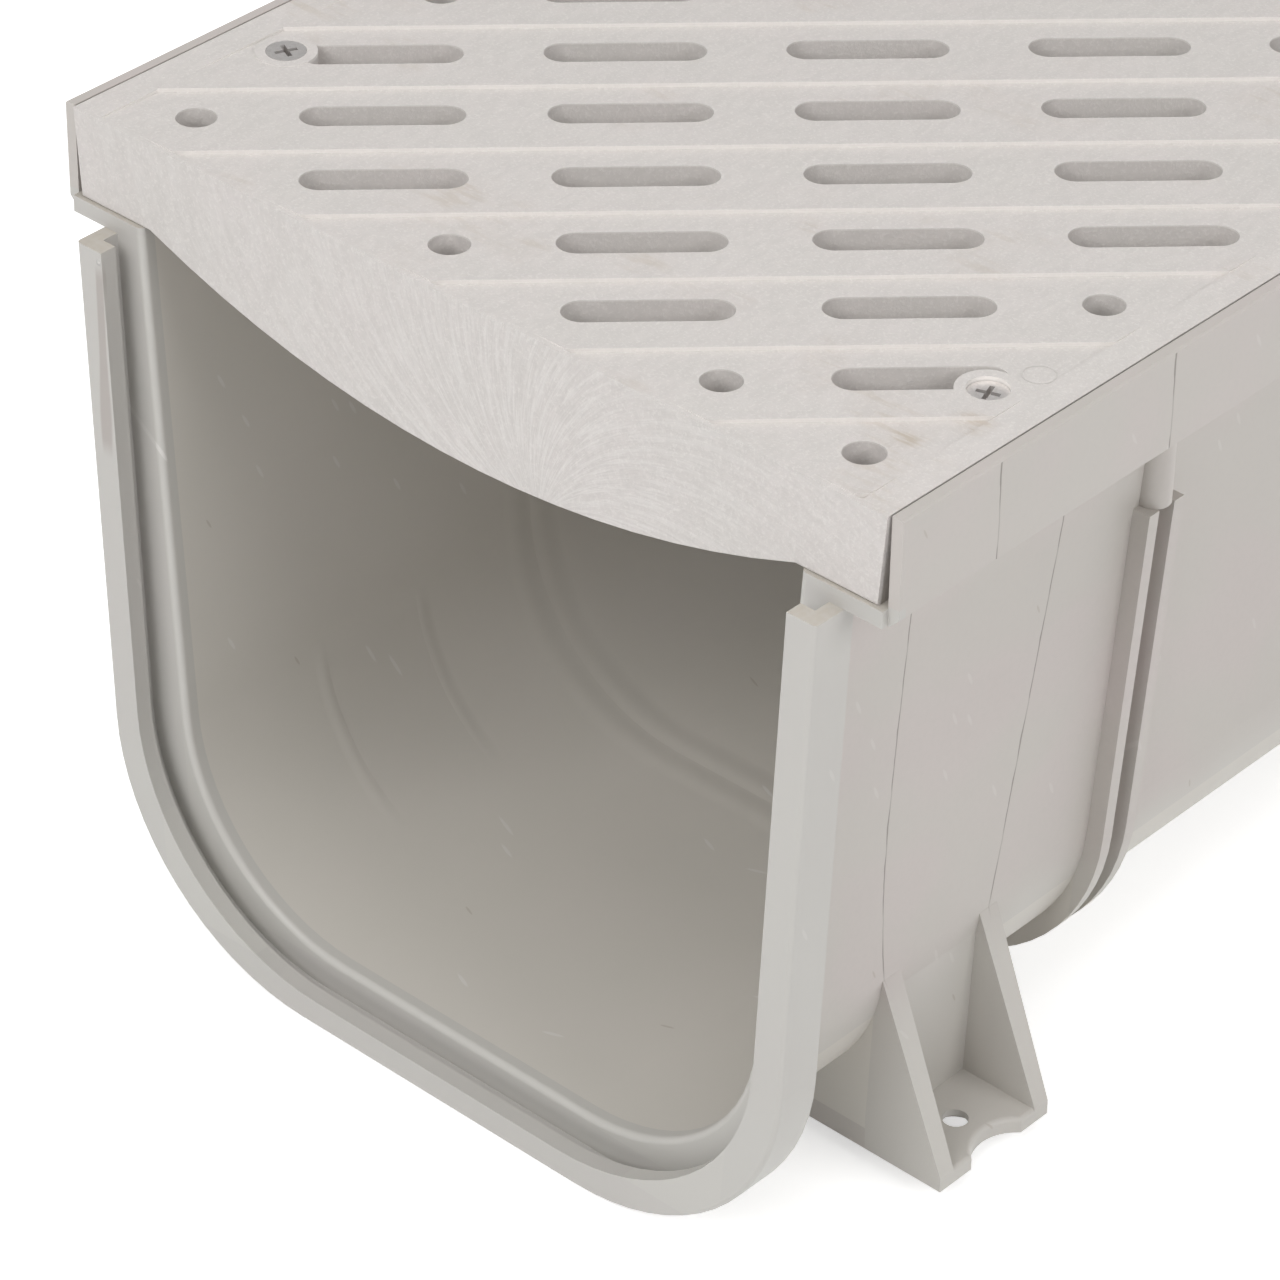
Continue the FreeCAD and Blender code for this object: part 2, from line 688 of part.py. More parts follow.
field_box = doc.addObject("Part::Box", "field_box")
field_box.setExpression("Length", "2 * dims.field_half")
field_box.setExpression("Width", "dims.overall_length - 2 * dims.end_border")
field_box.setExpression("Height", "2 * (dims.band_fall + dims.band_rise)")
field_box.setExpression("Placement.Base.x", "-dims.field_half")
field_box.setExpression("Placement.Base.y",
                        "dims.end_border - dims.grate_forward - (%s)" % ORIGIN_EXPR)
field_box.setExpression("Placement.Base.z", "%s - dims.band_fall - dims.band_rise" % TOP_EXPR)
field = doc.addObject("Part::Common", "band_field")
field.Base = bands
field.Tool = field_box
ramped = doc.addObject("Part::Fuse", "ramped_plate")
ramped.Base = grate_blank
ramped.Tool = field
ramped.Refine = True
doc.recompute()

# slots: a straight row in every band; where the border cuts a slot off, the end that
# still fits is a round hole
half_slot = S["slot_length"] / 2
slot_radius = S["slot_width"] / 2
end_reach = half_slot - slot_radius
limit_x = S["field_half"] - S["slot_margin"]
limit_low = field_low + S["slot_margin"]
limit_high = field_high - S["slot_margin"]


def fits(point):
    x, y = point
    return (abs(x) + slot_radius <= limit_x + slot_radius * 0.35
            and limit_low <= y - slot_radius and y + slot_radius <= limit_high)


def slot_wire(a, b):
    """A round ended slot between two end centres, drawn along the bands."""
    side = across * slot_radius
    tilt = S["band_angle"]
    return [
        ("line", (a[0] + side.x, a[1] + side.y), (b[0] + side.x, b[1] + side.y)),
        ("line", (a[0] - side.x, a[1] - side.y), (b[0] - side.x, b[1] - side.y)),
        ("arc", a, slot_radius, tilt + 90, tilt + 270),
        ("arc", b, slot_radius, tilt - 90, tilt + 90),
    ]


openings = []
first_slot = math.floor((along_min - S["slot_phase"]) / S["slot_pitch"])
last_slot = math.ceil((along_max - S["slot_phase"]) / S["slot_pitch"])
for band in range(first_band, last_band + 1):
    c = S["band_phase"] + S["slot_row_offset"] + band * S["band_pitch"]
    for place in range(first_slot, last_slot + 1):
        a = S["slot_phase"] + place * S["slot_pitch"]
        left = in_plan(a - end_reach, c)
        right = in_plan(a + end_reach, c)
        if fits(left) and fits(right):
            openings.append(slot_wire(left, right))
        elif fits(left):
            openings.append([("circle", left, slot_radius)])
        elif fits(right):
            openings.append([("circle", right, slot_radius)])

slots = new_body("slot_cutters")
slot_sketch = plan(slots, "slot_outlines", openings, "-2")
slot_pad = pad(slots, slot_sketch, "slot_prisms", "dims.belly_depth + 4", True)
slotted = doc.addObject("Part::Cut", "slotted_plate")
slotted.Base = ramped
slotted.Tool = slots
doc.recompute()

# screw bosses stand in the field, level with the border, and close the slots they meet
head_radius = S["screw_head"] / 2
shank_radius = S["screw_shank"] / 2
bosses = new_body("screw_bosses")
boss_rings = [[("circle", screw_at(side, far), S["screw_boss_radius"])]
              for _, side, far in SCREWS]
bosses_sketch = plan(bosses, "screw_boss_outlines", boss_rings, "0")
bosses_pad = pad(bosses, bosses_sketch, "screw_boss_pad", "dims.seat_depth", True)
bossed = doc.addObject("Part::Fuse", "bossed_plate")
bossed.Base = slotted
bossed.Tool = bosses
bossed.Refine = True
doc.recompute()


def sunk(side, far):
    """Depth of the head below the rim top: the right hand screws sit a little deeper."""
    return S["screw_sink"] if side > 0 else 0.0


def cone_depth():
    return S["screw_land"] + head_radius - shank_radius


sinks = new_body("countersinks")
for name, side, far in SCREWS:
    x, y = screw_at(side, far)
    hole = shank_radius + S["screw_clearance"]
    sink = sinks.newObject("Sketcher::SketchObject", "countersink_%s" % name)
    sink.AttachmentSupport = (plane(sinks, "XZ_Plane"), [""])
    sink.MapMode = "FlatFace"
    sink.AttachmentOffset = Placement(Vector(x, TOP, ORIGIN_Y - y), Rotation())
    deep = sunk(side, far)
    mouth = head_radius + S["pilot_clearance"]
    land = -deep - S["screw_land"]
    draw(sink, polygon([
        (0.0, 2.0),
        (mouth, 2.0),
        (mouth, land),
        (hole, land - (mouth - hole)),
        (hole, -S["belly_depth"] - 2),
        (0.0, -S["belly_depth"] - 2),
    ]))
    turned = sinks.newObject("PartDesign::Revolution", "countersink_turn_%s" % name)
    turned.Profile = sink
    turned.ReferenceAxis = (sink, ["V_Axis"])
    turned.Angle = 360
    doc.recompute()

grate = doc.addObject("Part::Cut", "grate")
grate.Base = bossed
grate.Tool = sinks
grate.Label = "grate"
doc.recompute()

# ---------------------------------------------------------------- screws
screws = []
for name, side, far in SCREWS:
    x, y = screw_at(side, far)
    body = new_body(name)
    body.Placement = Placement(Vector(x, y - ORIGIN_Y, TOP - sunk(side, far)),
                               Rotation(Vector(0, 0, 1), 20 if side > 0 else 65))
    outline = body.newObject("Sketcher::SketchObject", "profile_%s" % name)
    outline.AttachmentSupport = (plane(body, "XZ_Plane"), [""])
    outline.MapMode = "FlatFace"
    draw(outline, polygon([
        (0.0, 0.0),
        (head_radius, 0.0),
        (head_radius, -S["screw_land"]),
        (shank_radius, -cone_depth()),
        (shank_radius, S["screw_point"] - S["screw_length"]),
        (0.4, -S["screw_length"]),
        (0.0, -S["screw_length"]),
    ]))
    turned = body.newObject("PartDesign::Revolution", "turned_%s" % name)
    turned.Profile = outline
    turned.ReferenceAxis = (outline, ["V_Axis"])
    turned.Angle = 360
    doc.recompute()
    long, wide = S["screw_recess_span"] / 2, S["screw_recess_width"] / 2
    cross = body.newObject("Sketcher::SketchObject", "cross_%s" % name)
    cross.AttachmentSupport = (plane(body, "XY_Plane"), [""])
    cross.MapMode = "FlatFace"
    draw(cross, polygon([
        (long, wide), (wide, wide), (wide, long), (-wide, long),
        (-wide, wide), (-long, wide), (-long, -wide), (-wide, -wide),
        (-wide, -long), (wide, -long), (wide, -wide), (long, -wide),
    ]))
    recess_cut = pocket(body, cross, "recess_%s" % name, "dims.screw_recess_depth")
    recess_cut.TaperAngle = -12
    body.Tip = recess_cut
    screws.append(body)
doc.recompute()

# ---------------------------------------------------------------- check and write
parts = [channel_body, grate] + screws
for item in doc.Objects:
    if "Invalid" in item.State or "Error" in item.State:
        raise RuntimeError("feature %s failed: %s" % (item.Name, item.State))
for item in parts:
    shape = item.Shape
    if shape.isNull() or not shape.isValid() or len(shape.Solids) != 1:
        raise RuntimeError("%s is not one valid solid (%d)" % (item.Label, len(shape.Solids)))
for item in parts:
    item.Shape.exportStep("parts/%s.step" % item.Label)
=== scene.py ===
import bpy
import math
from mathutils import Euler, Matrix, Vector

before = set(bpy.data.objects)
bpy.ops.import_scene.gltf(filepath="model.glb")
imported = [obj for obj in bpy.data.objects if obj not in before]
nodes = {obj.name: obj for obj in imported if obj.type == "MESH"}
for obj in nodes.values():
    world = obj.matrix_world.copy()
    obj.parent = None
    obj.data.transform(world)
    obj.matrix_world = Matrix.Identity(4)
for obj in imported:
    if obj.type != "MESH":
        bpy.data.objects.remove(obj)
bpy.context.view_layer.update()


# ---------------------------------------------------------------- camera
LENS_MM, SENSOR_MM = 156.88, 36.0
CAMERA_PLACE = (0.57168, -0.83578, 0.67906)
CAMERA_TURN_DEG = (54.92344, -0.77346, 42.41539)

camera_data = bpy.data.cameras.new("camera")
camera_data.lens = LENS_MM
camera_data.sensor_width = SENSOR_MM
camera_data.clip_start = 0.05
camera_data.clip_end = 20.0
camera = bpy.data.objects.new("camera", camera_data)
camera.location = CAMERA_PLACE
camera.rotation_euler = Euler([math.radians(a) for a in CAMERA_TURN_DEG])
bpy.context.scene.collection.objects.link(camera)
bpy.context.scene.camera = camera


# ---------------------------------------------------------------- node helpers
class Mat:
    """A material with short calls for making and joining shader nodes."""

    def __init__(self, name):
        self.mat = bpy.data.materials.new(name)
        self.mat.use_nodes = True
        self.tree = self.mat.node_tree
        self.tree.nodes.clear()
        self.out = self.tree.nodes.new("ShaderNodeOutputMaterial")

    def node(self, kind, **settings):
        n = self.tree.nodes.new(kind)
        for key, value in settings.items():
            setattr(n, key, value)
        return n

    def link(self, a, b):
        self.tree.links.new(a, b)

    def put(self, socket, value):
        if hasattr(value, "is_output"):
            self.link(value, socket)
        elif isinstance(value, tuple) and len(value) == 3 and socket.type == "RGBA":
            socket.default_value = (*value, 1.0)
        else:
            socket.default_value = value

    # where a point lies and which way it faces
    def coords(self):
        return self.node("ShaderNodeTexCoord").outputs["Object"]

    def mapped(self, scale, turn):
        n = self.node("ShaderNodeMapping")
        self.link(self.coords(), n.inputs["Vector"])
        n.inputs["Scale"].default_value = scale
        n.inputs["Rotation"].default_value = turn
        return n.outputs[0]

    def xyz(self):
        """Place on the part in millimetres."""
        scaled = self.node("ShaderNodeVectorMath", operation="SCALE")
        self.link(self.coords(), scaled.inputs[0])
        scaled.inputs["Scale"].default_value = 1000.0
        split = self.node("ShaderNodeSeparateXYZ")
        self.link(scaled.outputs[0], split.inputs[0])
        return split.outputs[0], split.outputs[1], split.outputs[2]

    def join(self, x, y, z):
        n = self.node("ShaderNodeCombineXYZ")
        for socket, value in zip(n.inputs, (x, y, z)):
            self.put(socket, value)
        return n.outputs[0]

    def away(self, x, y, z, place):
        """Distance from a place."""
        n = self.node("ShaderNodeVectorMath", operation="DISTANCE")
        self.link(self.join(x, y, z), n.inputs[0])
        n.inputs[1].default_value = place
        return n.outputs["Value"]

    def facing(self, axis):
        split = self.node("ShaderNodeSeparateXYZ")
        self.link(self.node("ShaderNodeNewGeometry").outputs["True Normal"], split.inputs[0])
        return split.outputs[axis]

    # arithmetic
    def math(self, op, a, b=0.0):
        n = self.node("ShaderNodeMath", operation=op)
        self.put(n.inputs[0], a)
        self.put(n.inputs[1], b)
        return n.outputs[0]

    def add(self, a, b):
        return self.math("ADD", a, b)

    def scaled(self, value, factor, offset):
        return self.add(self.math("MULTIPLY", value, factor), offset)

    def apart(self, a, b):
        return self.math("ABSOLUTE", self.math("SUBTRACT", a, b))

    def above(self, value, limit):
        return self.math("GREATER_THAN", value, limit)

    def below(self, value, limit):
        return self.math("LESS_THAN", value, limit)

    def times(self, first, *rest):
        for factor in rest:
            first = self.math("MULTIPLY", first, factor)
        return first

    def most(self, first, *rest):
        for other in rest:
            first = self.math("MAXIMUM", first, other)
        return first

    # fading from one value to another
    def map_range(self, kind, value, low, high, to_low, to_high):
        n = self.node("ShaderNodeMapRange", interpolation_type=kind)
        self.put(n.inputs["Value"], value)
        n.inputs["From Min"].default_value = low
        n.inputs["From Max"].default_value = high
        n.inputs["To Min"].default_value = to_low
        n.inputs["To Max"].default_value = to_high
        return n.outputs[0]

    def span(self, value, low, high, to_low, to_high):
        return self.map_range("LINEAR", value, low, high, to_low, to_high)

    def ramp(self, value, low, high, to_low=0.0, to_high=1.0):
        return self.map_range("SMOOTHSTEP", value, low, high, to_low, to_high)

    def near(self, value, at, half):
        """One at a place, fading to nothing at half a width from it."""
        return self.ramp(self.apart(value, at), 0.0, half, 1.0, 0.0)

    def mix(self, factor, a, b):
        n = self.node("ShaderNodeMix", data_type="RGBA")
        self.put(n.inputs["Factor"], factor)
        self.put(n.inputs[6], a)
        self.put(n.inputs[7], b)
        return n.outputs[2]

    def mix_value(self, factor, a, b):
        n = self.node("ShaderNodeMix", data_type="FLOAT")
        self.put(n.inputs[0], factor)
        self.put(n.inputs[2], a)
        self.put(n.inputs[3], b)
        return n.outputs[0]

    # patterns
    def noise(self, vector, scale, detail, rough=0.55, dimensions="3D"):
        n = self.node("ShaderNodeTexNoise", noise_dimensions=dimensions)
        self.link(vector, n.inputs["Vector"])
        n.inputs["Scale"].default_value = scale
        n.inputs["Detail"].default_value = detail
        n.inputs["Roughness"].default_value = rough
        return n.outputs["Fac"]

    def noise_along(self, value, scale, detail=2.0):
        """Noise along a line only, for what wanders down a seam."""
        n = self.node("ShaderNodeTexNoise", noise_dimensions="1D")
        self.put(n.inputs["W"], value)
        n.inputs["Scale"].default_value = scale
        n.inputs["Detail"].default_value = detail
        return n.outputs["Fac"]

    def flecks(self, along, over, *kinds):
        """Short marks from one flat set of cells, a mask for each (share of cells, size)."""
        cells = self.node("ShaderNodeTexVoronoi", feature="F1", voronoi_dimensions="2D")
        self.link(self.join(along, over, 0.0), cells.inputs["Vector"])
        cells.inputs["Scale"].default_value = 1.0
        pick = self.node("ShaderNodeSeparateColor")
        self.link(cells.outputs["Color"], pick.inputs[0])
        return [self.times(self.ramp(cells.outputs["Distance"], size * 0.6, size, 1.0, 0.0),
                           self.above(pick.outputs[k], 1.0 - share))
                for k, (share, size) in enumerate(kinds)]

    # the surface itself
    def relief(self, *layers):
        """One bump from layers of (height, millimetres)."""
        total = None
        for height, depth in layers:
            part = self.math("MULTIPLY", height, depth)
            total = part if total is None else self.add(total, part)
        n = self.node("ShaderNodeBump")
        n.inputs["Strength"].default_value = 1.0
        n.inputs["Distance"].default_value = 0.001
        self.put(n.inputs["Height"], total)
        return n.outputs[0]

    def surface(self, colour, rough, normal, metal=0.0, specular=0.5):
        n = self.node("ShaderNodeBsdfPrincipled")
        self.put(n.inputs["Base Color"], colour)
        self.put(n.inputs["Roughness"], rough)
        n.inputs["Metallic"].default_value = metal
        n.inputs["Specular IOR Level"].default_value = specular
        self.link(normal, n.inputs["Normal"])
        self.link(n.outputs[0], self.out.inputs["Surface"])
        return self.mat


def use(obj, mat):
    obj.data.materials.clear()
    obj.data.materials.append(mat)


# ---------------------------------------------------------------- channel
# Places are in millimetres on the part: x across, y along from the near end at -254, z up.
# Both ends' ribs and feet lie evenly about one place along the channel.
MIDDLE = 4.2
RIB_MIDDLE, RIB_HALF = 155.0, 3.6
FOOT_MIDDLE, FOOT_HALF = 201.3, 13.8

# the wall leans: how far out its middle is at the foot and under the rim
WALL_FOOT_Z, WALL_FOOT_X = 10.6, 71.6
WALL_TOP_Z, WALL_TOP_X = 155.5, 81.1
INSIDE_LOW_Z, INSIDE_HIGH_Z = 9.0, 154.0

FLANGE_BACK_Y, FLANGE_TOP_Z = -244.0, 156.0
ARM_BACK_Y, ARM_LOW_Z, ARM_TOP_Z = -243.8, 140.0, 157.0
ARM_FACE_Y, ARM_MIDDLE_X, NUB_Z = -253.4, -83.6, 149.9

# the first seam bends away below a height, the second runs straight and slants
SEAM_TOP_Z, SEAM_BEND_LENGTH, SEAM_BEND = 131.9, 64.0, 1.5
SKIRT_LOW_Z, SKIRT_HIGH_Z = 151.0, 173.5
FIRST_SEAM_WALL_Y, FIRST_SEAM_SKIRT_Y, FIRST_SEAM_HALF = -218.85, -220.45, 0.26
SECOND_SEAM_WALL_Y, SECOND_SEAM_SKIRT_Y, SECOND_SEAM_HALF = -177.15, -173.55, 0.3
SECOND_SEAM_SLANT = -0.0853

SHELL, SHELL_WARM, SHELL_GRAIN = (0.538, 0.508, 0.473), (0.561, 0.514, 0.490), (0.5, 0.475, 0.445)
# the next two are lighter copies of the shell colour: painted light for the inside and for the
# outside low down
SHELL_INSIDE_PAINTED_LIGHT, SHELL_LOW_PAINTED_LIGHT = (0.649, 0.624, 0.570), (0.585, 0.566, 0.527)
SHELL_FLANGE, SHELL_TRIMMED = (0.533, 0.524, 0.497), (0.47, 0.43, 0.37)
SEAM_DIRT, SINK_SHADE = (0.17, 0.15, 0.125), (0.44, 0.42, 0.38)
SCUFF_PALE, SPECK_BROWN = (0.72, 0.7, 0.67), (0.36, 0.31, 0.25)
SMEAR_BROWN, NUB_PALE = (0.4, 0.36, 0.335), (0.74, 0.72, 0.69)


def channel_look():
    """Satin moulded plastic: seams outside, sink marks inside, scuffs and specks."""
    m = Mat("moulded_grey")
    x, y, z = m.xyz()
    across = m.math("ABSOLUTE", x)
    inner_wall = m.span(z, WALL_FOOT_Z, WALL_TOP_Z, WALL_FOOT_X, WALL_TOP_X)
    outside = m.above(across, inner_wall)
    inside = m.times(m.math("SUBTRACT", 1.0, outside), m.below(z, INSIDE_HIGH_Z),
                     m.above(z, INSIDE_LOW_Z))

    grain = m.noise(m.coords(), 900.0, 0.0)
    mottle = m.noise(m.coords(), 34.0, 1.0, 0.65)
    colour = m.mix(m.ramp(mottle, 0.35, 0.65), SHELL, SHELL_WARM)
    colour = m.mix(m.ramp(grain, 0.4, 0.7, 0.0, 0.12), colour, SHELL_GRAIN)
    # painted light: the inside walls and floor get a lighter copy of the plastic's colour, to make
    # up for the shade inside the channel
    colour = m.mix(m.times(inside, 0.8), colour, SHELL_INSIDE_PAINTED_LIGHT)
    # painted light: the outside below about 50 mm, round the feet, is made lighter to make up for
    # the shade there
    low = m.times(outside, m.ramp(z, 50.0, 36.0))
    colour = m.mix(m.times(low, 0.8), colour, SHELL_LOW_PAINTED_LIGHT)
    flange = m.times(m.below(y, FLANGE_BACK_Y), m.below(z, FLANGE_TOP_Z))
    colour = m.mix(m.times(flange, 0.75), colour, SHELL_FLANGE)

    # seams of the mould down each outer side
    down = m.most(m.math("SUBTRACT", SEAM_TOP_Z, z), 0.0)
    drift = m.noise_along(z, 0.09)
    wander = m.span(drift, 0.0, 1.0, -0.3, 0.3)
    bend = m.times(m.math("POWER", m.math("DIVIDE", down, SEAM_BEND_LENGTH), 4.0), SEAM_BEND)
    on_skirt = m.above(z, SKIRT_LOW_Z)
    first = m.mix_value(on_skirt, m.add(bend, FIRST_SEAM_WALL_Y), FIRST_SEAM_SKIRT_Y)
    second = m.mix_value(on_skirt, m.scaled(down, SECOND_SEAM_SLANT, SECOND_SEAM_WALL_Y),
                         SECOND_SEAM_SKIRT_Y)
    width = m.ramp(drift, 0.55, 0.68, 1.0, 1.4)
    seam = m.most(*(m.ramp(m.math("DIVIDE", m.apart(m.add(y, wander), line), width),
                           0.0, half, 1.0, 0.0)
                    for line, half in ((first, FIRST_SEAM_HALF), (second, SECOND_SEAM_HALF))))
    seam = m.times(seam, outside, m.ramp(z, 44.0, 52.0), m.below(z, SKIRT_HIGH_Z))
    faint = m.ramp(drift, 0.35, 0.55, 0.4, 0.85)
    colour = m.mix(m.times(seam, faint), colour, SEAM_DIRT)

    # sink marks inside, opposite the ribs and the feet: shallow dips in the bump, and painted shade
    # in the colour
    half_way = m.apart(y, MIDDLE)
    sink = m.times(m.near(m.apart(half_way, RIB_MIDDLE), RIB_HALF, 4.4),
                   m.ramp(z, 105.0, 128.0, 1.0, 0.15))
    from_foot = m.apart(half_way, FOOT_MIDDLE)
    foot = m.most(m.times(m.near(from_foot, FOOT_HALF, 2.6), 0.8),
                  m.ramp(from_foot, FOOT_HALF - 1.0, FOOT_HALF + 1.0, 0.45, 0.0))
    sink = m.most(sink, m.times(foot, m.ramp(z, 42.0, 49.0, 1.0, 0.0), m.ramp(across, 47.0, 62.0)))
    sink = m.times(sink, inside)
    colour = m.mix(m.times(sink, 0.16), colour, SINK_SHADE)

    # scuffs and specks, in long cells laid slantwise over the walls and the floor
    slant = m.add(z, m.times(across, -0.8))
    scuff, speck = m.flecks(m.times(m.add(y, m.times(slant, 0.5)), 0.3),
                            m.times(m.math("SUBTRACT", slant, m.times(y, 0.4)), 0.065),
                            (0.06, 0.15), (0.014, 0.1))
    colour = m.mix(m.times(scuff, m.scaled(inside, 0.45, 0.2)), colour, SCUFF_PALE)
    colour = m.mix(m.times(speck, 0.35), colour, SPECK_BROWN)

    # trimmed ends of the flange arms, rougher and a little brown
    arm_top = m.times(m.ramp(m.facing(2), 0.6, 0.9), m.below(y, ARM_BACK_Y),
                      m.below(z, ARM_TOP_Z), m.above(z, ARM_LOW_Z))
    colour = m.mix(m.times(arm_top, m.ramp(grain, 0.2, 0.8, 0.5, 0.8)), colour, SHELL_TRIMMED)

    # gate mark down the front of the left arm, with its nub
    front = m.times(m.below(y, ARM_FACE_Y), m.below(x, 0.0))
    reach = m.times(m.ramp(z, 107.0, 112.0), m.ramp(z, 146.0, 150.0, 1.0, 0.0))
    belly = m.add(m.times(m.near(z, 116.0, 16.0), 0.55), 0.95)
    off_middle = m.math("ABSOLUTE", m.add(x, -ARM_MIDDLE_X))
    smear = m.times(m.ramp(m.math("DIVIDE", off_middle, belly), 0.75, 1.25, 1.0, 0.0), reach, front)
    colour = m.mix(m.times(smear, 0.8), colour, SMEAR_BROWN)
    nub = m.times(m.ramp(m.away(x, 0.0, z, (ARM_MIDDLE_X, 0.0, NUB_Z)), 0.1, 0.75, 1.0, 0.0), front)
    colour = m.mix(m.times(nub, 0.8), colour, NUB_PALE)

    normal = m.relief((sink, 0.3), (nub, 0.35))
    rough = m.add(m.span(mottle, 0.3, 0.7, 0.4, 0.5), m.times(arm_top, 0.25))
    return m.surface(colour, rough, normal)


# ---------------------------------------------------------------- grating
GRATE_FRONT_Y, GRATE_HALF_X = -245.6, 96.6
STAINS = ((89.5, -215.0, 5.0), (83.6, -226.0, 4.5))     # x, y, reach
PIN_PLACE, PIN_RADIUS = (87.5, -195.3, 0.0), 3.0
FAN_X, FAN_Z, FAN_TWIST = 19.5, 138.0, 0.012

GRATE, GRATE_WARM, GRATE_CLOTH = (0.651, 0.619, 0.593), (0.666, 0.626, 0.604), (0.575, 0.548, 0.525)
GRATE_PALE, GRATE_EDGE_HIGHLIGHT = (0.78, 0.75, 0.72), (0.86, 0.83, 0.8)
PATCH_BROWN, STAIN_BROWN = (0.5, 0.43, 0.35), (0.47, 0.39, 0.3)
SLOT_SHADE_GREY, SLOT_SHADE_BROWN, PIN_GREY = (0.5, 0.48, 0.46), (0.4, 0.35, 0.3), (0.45, 0.42, 0.39)
FIBRE_PALE, HAIR_DARK = (0.79, 0.765, 0.74), (0.56, 0.53, 0.51)


def grate_look():
    """Filled plastic with a fibrous grain, a painted highlight along its steps and painted shade,
    grey to brown, down its slots.
    """
    m = Mat("grate_grey")
    x, y, z = m.xyz()
    up = m.ramp(m.facing(2), 0.7, 0.95)
    front = m.times(m.below(y, GRATE_FRONT_Y), m.ramp(m.facing(1), -0.5, -0.8))
    slot = m.times(m.above(y, GRATE_FRONT_Y), m.math("SUBTRACT", 1.0, up),
                   m.below(m.math("ABSOLUTE", x), GRATE_HALF_X))

    fine = m.noise(m.coords(), 1500.0, 2.0, 0.75)
    cloth = m.noise(m.mapped((1.0, 0.4, 1.0), (0, 0, 0.8)), 560.0, 2.0, 0.7)
    broad = m.noise(m.coords(), 29.0, 2.0, 0.65)
    colour = m.mix(m.ramp(broad, 0.35, 0.65), GRATE, GRATE_WARM)
    colour = m.mix(m.ramp(cloth, 0.35, 0.65, 0.0, 0.36), colour, GRATE_CLOTH)
    colour = m.mix(m.ramp(fine, 0.5, 0.68, 0.0, 0.45), colour, GRATE_PALE)

    # brown stains on the top
    patch = m.ramp(broad, 0.54, 0.68)
    streak = m.noise(m.mapped((0.35, 1.6, 1.0), (0, 0, -0.75)), 260.0, 2.0, 0.7)
    streak = m.ramp(streak, 0.48, 0.64)
    colour = m.mix(m.times(up, patch, m.scaled(streak, 0.28, 0.08)), colour, PATCH_BROWN)
    for stain_x, stain_y, reach in STAINS:
        spot = m.ramp(m.away(x, y, 0.0, (stain_x, stain_y, 0.0)), reach * 0.2, reach, 1.0, 0.0)
        colour = m.mix(m.times(spot, up, m.scaled(streak, 0.4, 0.12)), colour, STAIN_BROWN)

    # painted highlight along the steps and round the top of the slots
    step_highlight = m.times(slot, m.ramp(z, 173.0, 173.5))
    colour = m.mix(m.times(step_highlight, 0.62), colour, GRATE_EDGE_HIGHLIGHT)

    # slot walls, painted shade: greyer and then browner towards the bottom
    colour = m.mix(m.times(slot, m.ramp(z, 174.0, 168.0, 0.0, 0.3)), colour, SLOT_SHADE_GREY)
    colour = m.mix(m.times(slot, m.ramp(z, 170.0, 158.0, 0.0, 0.45)), colour, SLOT_SHADE_BROWN)

    # ring of an ejector pin beside the near right screw
    ring = m.times(m.near(m.away(x, y, 0.0, PIN_PLACE), PIN_RADIUS, 0.3), up)
    colour = m.mix(m.times(ring, 0.22), colour, PIN_GREY)

    # sawn front face: fibres that fan out from low on the right of the middle
    dx, dz = m.math("SUBTRACT", x, FAN_X), m.math("SUBTRACT", z, FAN_Z)
    radius = m.math("SQRT", m.add(m.times(dx, dx), m.times(dz, dz)))
    turned = m.add(m.math("ARCTAN2", dz, dx), m.times(radius, FAN_TWIST))
    fibre = m.noise(m.join(m.times(turned, 26.0), m.times(radius, 0.09), 0.0), 1.0, 2.0, 0.7, "2D")
    hair = m.noise(m.join(m.times(turned, 90.0), m.times(radius, 0.2), 3.0), 1.0, 1.0, 0.7, "2D")
    close = m.ramp(radius, 8.0, 75.0, 1.0, 0.35)
    colour = m.mix(m.times(front, close, m.ramp(fibre, 0.42, 0.66, 0.0, 0.42)), colour, FIBRE_PALE)
    colour = m.mix(m.times(front, close, m.ramp(hair, 0.5, 0.66, 0.0, 0.3)), colour, HAIR_DARK)

    normal = m.relief((fine, 0.12), (m.times(front, fibre), 0.09), (ring, -0.09))
    return m.surface(colour, m.span(fine, 0.3, 0.7, 0.55, 0.72), normal, specular=0.35)


# ---------------------------------------------------------------- screws
STEEL, STEEL_STAINED, RECESS_SHADE = (0.98, 0.95, 0.93), (0.8, 0.77, 0.75), (0.3, 0.28, 0.27)


def screw_look():
    """Dull plated steel, with painted shade in the recess and on every face that tilts away from
    up.
    """
    m = Mat("screw_steel")
    stain = m.noise(m.coords(), 700.0, 5.0, 0.65)
    scratch = m.noise(m.mapped((1.0, 0.15, 1.0), (0, 0, 0.6)), 2600.0, 3.0, 0.7)
    colour = m.mix(m.ramp(stain, 0.35, 0.7), STEEL, STEEL_STAINED)
    # painted shade on the faces that tilt away from up, the cross recess among them
    recess = m.ramp(m.facing(2), 0.95, 0.8)
    colour = m.mix(m.times(recess, 0.6), colour, RECESS_SHADE)
    normal = m.relief((scratch, 0.05), (stain, 0.06))
    return m.surface(colour, m.span(stain, 0.3, 0.7, 0.42, 0.56), normal, metal=1.0)


use(nodes["channel_body"], channel_look())
use(nodes["grate"], grate_look())
steel = screw_look()
for name in nodes:
    if name.startswith("screw"):
        use(nodes[name], steel)


# ---------------------------------------------------------------- floor and light
FLOOR_SIZE, FLOOR_PAINT, FLOOR_GLOW = 12.0, 0.88, 0.55
SKY_STRENGTH = 0.13

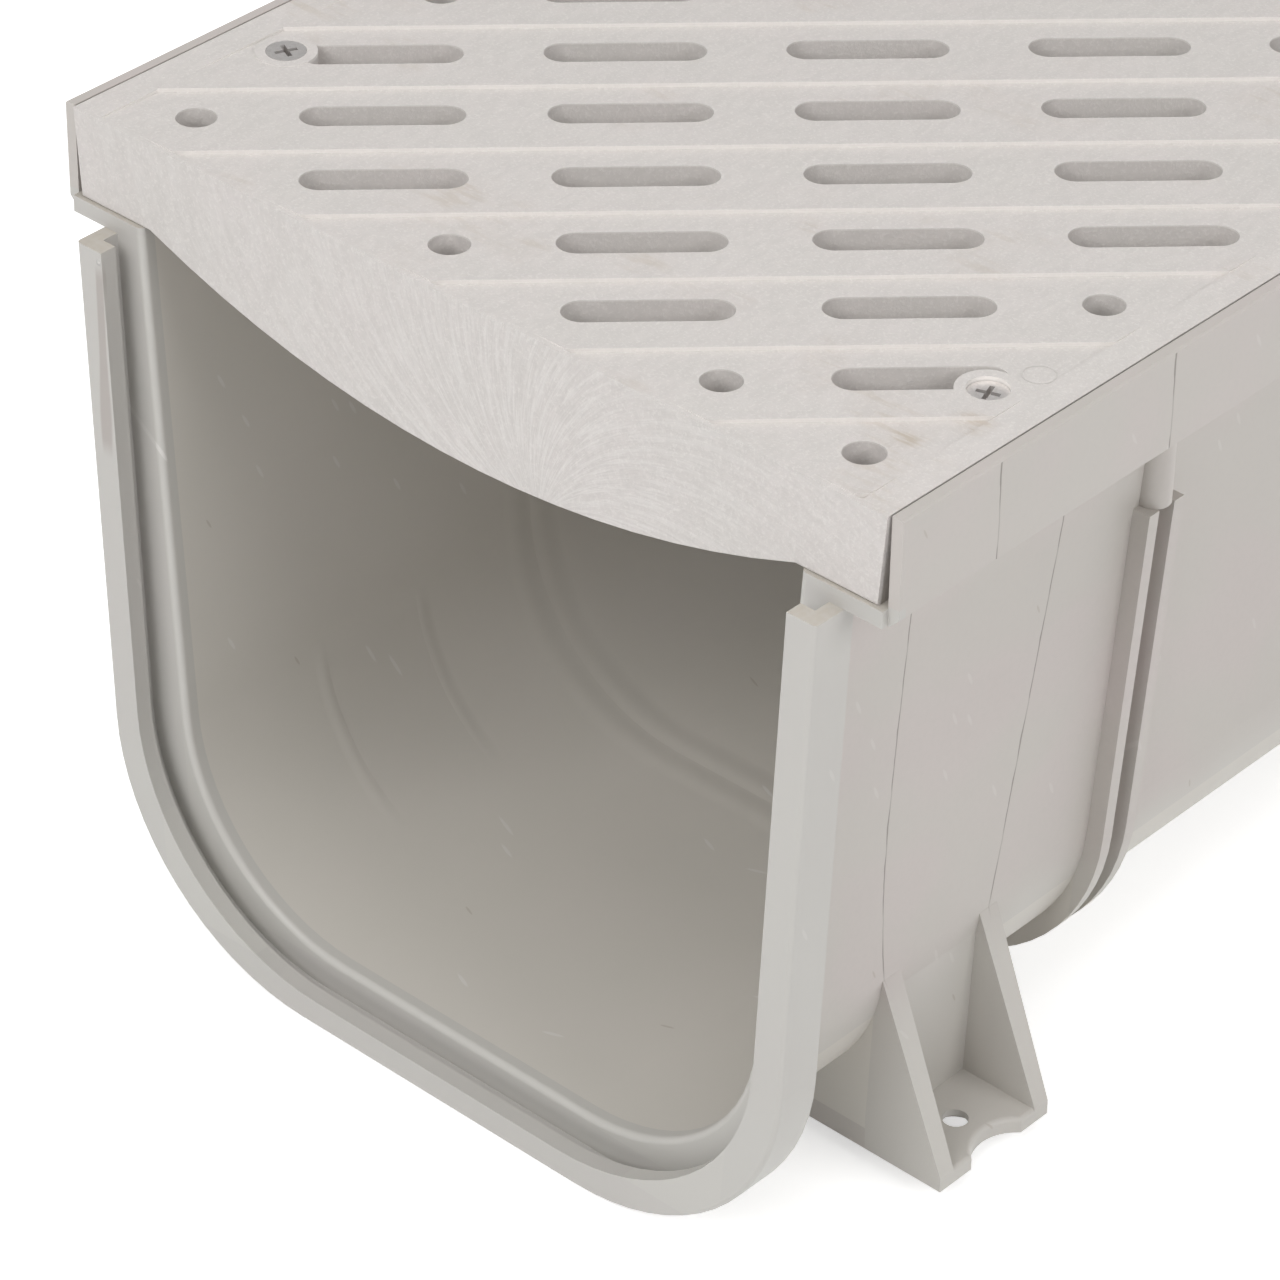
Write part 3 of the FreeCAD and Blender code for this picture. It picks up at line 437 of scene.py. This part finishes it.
# name, place, aim, width, height, watts
LAMPS = (
    ("overhead", (-0.2, -0.1, 1.8), (0.0, -0.1, 0.1), 2.0, 2.0, 12.6),
    ("front_high", (0.0, -1.6, 1.2), (0.0, -0.2, 0.08), 1.4, 1.0, 16.8),
    ("front_top", (0.35, -1.0, 1.5), (0.0, -0.25, 0.05), 1.0, 1.0, 2.6),
    ("right", (1.6, -0.1, 1.1), (0.0, -0.1, 0.08), 1.2, 0.9, 13.0),
    ("left", (-1.7, -0.6, 0.9), (0.0, -0.1, 0.1), 1.2, 0.9, 2.0),
    ("back", (0.0, 1.8, 0.6), (0.0, 0.1, 0.06), 1.4, 1.0, 3.0),
    ("back_low", (0.25, 1.6, 0.22), (-0.03, 0.0, 0.05), 1.0, 0.4, 7.0),
)


def floor_look():
    """Matt white paint that also glows for the camera and in reflections."""
    m = Mat("floor_white")
    paint = m.node("ShaderNodeBsdfDiffuse")
    paint.inputs["Color"].default_value = (FLOOR_PAINT, FLOOR_PAINT, FLOOR_PAINT, 1.0)
    glow = m.node("ShaderNodeEmission")
    glow.inputs["Color"].default_value = (1.0, 1.0, 1.0, 1.0)
    path = m.node("ShaderNodeLightPath")
    seen = m.most(path.outputs["Is Camera Ray"], path.outputs["Is Glossy Ray"])
    m.link(m.times(seen, FLOOR_GLOW), glow.inputs["Strength"])
    both = m.node("ShaderNodeAddShader")
    m.link(paint.outputs[0], both.inputs[0])
    m.link(glow.outputs[0], both.inputs[1])
    m.link(both.outputs[0], m.out.inputs["Surface"])
    return m.mat


bpy.ops.mesh.primitive_plane_add(size=FLOOR_SIZE, location=(0.0, 0.0, 0.0))
floor = bpy.context.object
floor.name = "floor"
use(floor, floor_look())

world = bpy.data.worlds.new("studio")
bpy.context.scene.world = world
world.use_nodes = True
tree = world.node_tree
tree.nodes.clear()
sky_out = tree.nodes.new("ShaderNodeOutputWorld")
sky = tree.nodes.new("ShaderNodeBackground")
sky.inputs["Color"].default_value = (1.0, 1.0, 1.0, 1.0)
sky.inputs["Strength"].default_value = SKY_STRENGTH
tree.links.new(sky.outputs[0], sky_out.inputs["Surface"])


def lamp(name, place, aim, width, height, watts):
    data = bpy.data.lights.new(name, "AREA")
    data.shape = "RECTANGLE"
    data.size = width
    data.size_y = height
    data.energy = watts
    obj = bpy.data.objects.new(name, data)
    obj.location = place
    obj.rotation_euler = (Vector(aim) - Vector(place)).to_track_quat("-Z", "Y").to_euler()
    bpy.context.scene.collection.objects.link(obj)


for row in LAMPS:
    lamp(*row)

bpy.context.scene.view_settings.view_transform = "Standard"
